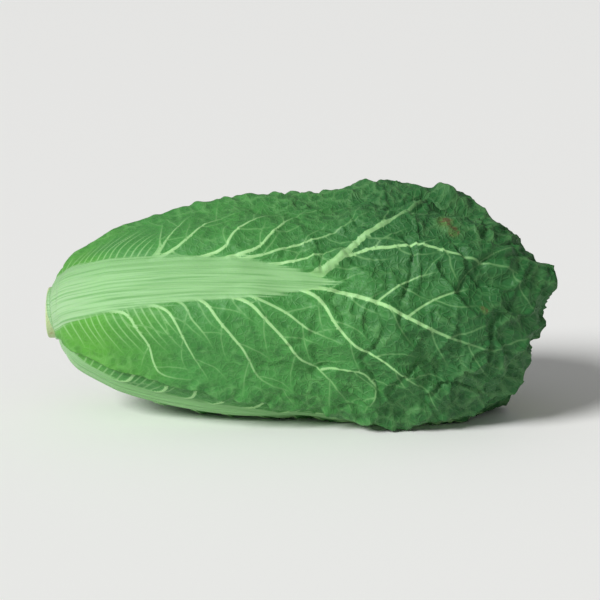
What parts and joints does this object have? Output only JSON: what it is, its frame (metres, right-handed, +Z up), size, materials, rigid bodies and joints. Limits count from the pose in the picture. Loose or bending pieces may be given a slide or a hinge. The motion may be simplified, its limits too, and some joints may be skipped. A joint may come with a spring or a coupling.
{
  "type": "napa cabbage",
  "caption": "Long napa cabbage head lying on its side: cut stem, dense pale heart and overlapping wrapper leaves with broad ribs, branching veins and waved edges.",
  "frame": {"origin": "on the ground under the middle of the head's box", "axes": "+X from the cut stem to the leafy top, +Z up, -Y towards the side with the outermost leaf"},
  "size_m": [0.4046, 0.1966, 0.1838],
  "materials": {
    "stem": "fresh cut, moist and matt",
    "heart": "fresh leaf, satin",
    "wrapper_leaf": "fresh leaf, waxy satin with pale ribs and veins"
  },
  "bodies": {
    "root": {"stem": "stem", "heart": "heart", "wrapper_leaf_01": "wrapper_leaf", "wrapper_leaf_02": "wrapper_leaf", "wrapper_leaf_03": "wrapper_leaf", "wrapper_leaf_04": "wrapper_leaf", "wrapper_leaf_05": "wrapper_leaf", "wrapper_leaf_06": "wrapper_leaf", "wrapper_leaf_07": "wrapper_leaf", "wrapper_leaf_08": "wrapper_leaf", "wrapper_leaf_09": "wrapper_leaf", "wrapper_leaf_10": "wrapper_leaf"}
  },
  "joints": []
}
